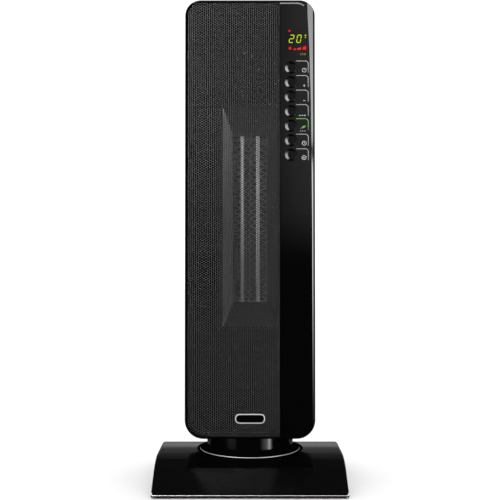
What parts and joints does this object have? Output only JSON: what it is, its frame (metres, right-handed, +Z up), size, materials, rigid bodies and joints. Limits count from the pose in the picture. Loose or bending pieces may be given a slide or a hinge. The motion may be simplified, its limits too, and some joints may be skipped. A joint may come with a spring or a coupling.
{
  "type": "tower heater",
  "caption": "Swinging tower heater: rounded box with a perforated grille, a glossy key strip and a lit display, on a round neck and a wide arched base.",
  "frame": {"origin": "on the floor, on the swing axis, at the middle of the base's footprint", "axes": "+Z up along the swing axis and the tower's height, the front faces -Y, +X to the right seen from the front"},
  "size_m": [0.233, 0.204, 0.601],
  "materials": {
    "gloss_black": "high gloss",
    "satin_black": "fine texture",
    "grille_metal": "satin black paint on perforated sheet",
    "display_glass": "smoked lens",
    "button_black": "gloss",
    "board_green": "solder mask",
    "part_black": "moulded",
    "heater_frame": "heat resistant moulding",
    "duct_grey": "metallised funnel in a dark frame",
    "aluminium": "bare",
    "steel": "zinc plated",
    "film_blue": "dipped",
    "impeller_black": "moulded",
    "rubber": "moulded",
    "filter_cloth": "fine mesh",
    "acetal_white": "self-lubricating"
  },
  "bodies": {
    "base": {"base_shell": "gloss_black", "base_plate": "satin_black", "base_screws": "steel", "foot_front_left": "rubber", "foot_front_right": "rubber", "foot_back_left": "rubber", "foot_back_right": "rubber", "pivot_post": "acetal_white", "retaining_ring": "steel", "glide_ring": "acetal_white", "swing_motor": "steel"},
    "pinion": {"drive_pinion": "acetal_white"},
    "tower": {"neck": "gloss_black", "neck_screws": "steel", "swing_gear": "acetal_white", "front_frame": "gloss_black", "front_grille": "grille_metal", "control_fascia": "gloss_black", "display_window": "display_glass", "display_module": "part_black", "control_board": "board_green", "key_switches": "part_black", "air_duct": "duct_grey", "block_frame": "heater_frame", "heating_tube_left": "aluminium", "heating_tube_right": "aluminium", "centre_plate": "aluminium", "fin_strip_outer_left": "aluminium", "fin_strip_inner_left": "aluminium", "fin_strip_inner_right": "aluminium", "fin_strip_outer_right": "aluminium", "thermal_cutout": "steel", "blower_housing": "satin_black", "end_bush": "rubber", "fan_motor": "steel", "power_board": "board_green", "relays": "part_black", "capacitor": "film_blue", "terminal_block": "part_black", "heat_sink": "aluminium", "rear_shell": "satin_black", "shell_screws": "steel", "handle_cup": "satin_black", "rocker_bezel": "satin_black", "cord_gland": "rubber", "tip_switch": "part_black"},
    "blower": {"impeller": "impeller_black"},
    "cassette": {"filter_frame": "satin_black", "filter_cloth": "filter_cloth"},
    "rocker": {"mains_rocker": "part_black"},
    "key_power": {"button_power": "button_black"},
    "key_plus": {"button_plus": "button_black"},
    "key_minus": {"button_minus": "button_black"},
    "key_mode": {"button_mode": "button_black"},
    "key_eco": {"button_eco": "button_black"},
    "key_timer": {"button_timer": "button_black"},
    "key_swing": {"button_swing": "button_black"}
  },
  "joints": [
    {"name": "swing", "type": "hinge", "parent": "base", "child": "tower", "pos_m": [0, 0, 0.05], "axis": [0, 0, 1], "range_deg": [-35, 35]},
    {"name": "pinion_spin", "type": "hinge", "parent": "base", "child": "pinion", "pos_m": [0, 0.036, 0.045], "axis": [0, 0, 1], "range_deg": [-105, 105]},
    {"name": "blower_spin", "type": "hinge", "parent": "tower", "child": "blower", "pos_m": [0.002, 0.031, 0.333], "axis": [0, 0, 1], "continuous": true},
    {"name": "cassette_pull", "type": "slide", "parent": "tower", "child": "cassette", "axis": [0, 1, 0], "range_m": [0, 0.03]},
    {"name": "rocker_tilt", "type": "hinge", "parent": "tower", "child": "rocker", "pos_m": [0.026, 0.0565, 0.098], "axis": [-1, 0, 0], "range_deg": [0, 16]},
    {"name": "press_power", "type": "slide", "parent": "tower", "child": "key_power", "axis": [0, 1, 0], "range_m": [0, 0.001], "stiffness_N_per_m": 900},
    {"name": "press_plus", "type": "slide", "parent": "tower", "child": "key_plus", "axis": [0, 1, 0], "range_m": [0, 0.001], "stiffness_N_per_m": 900},
    {"name": "press_minus", "type": "slide", "parent": "tower", "child": "key_minus", "axis": [0, 1, 0], "range_m": [0, 0.001], "stiffness_N_per_m": 900},
    {"name": "press_mode", "type": "slide", "parent": "tower", "child": "key_mode", "axis": [0, 1, 0], "range_m": [0, 0.001], "stiffness_N_per_m": 900},
    {"name": "press_eco", "type": "slide", "parent": "tower", "child": "key_eco", "axis": [0, 1, 0], "range_m": [0, 0.001], "stiffness_N_per_m": 900},
    {"name": "press_timer", "type": "slide", "parent": "tower", "child": "key_timer", "axis": [0, 1, 0], "range_m": [0, 0.001], "stiffness_N_per_m": 900},
    {"name": "press_swing", "type": "slide", "parent": "tower", "child": "key_swing", "axis": [0, 1, 0], "range_m": [0, 0.001], "stiffness_N_per_m": 900}
  ],
  "couplings": [
    {"joint": "pinion_spin", "follows": "swing", "ratio": -3}
  ]
}
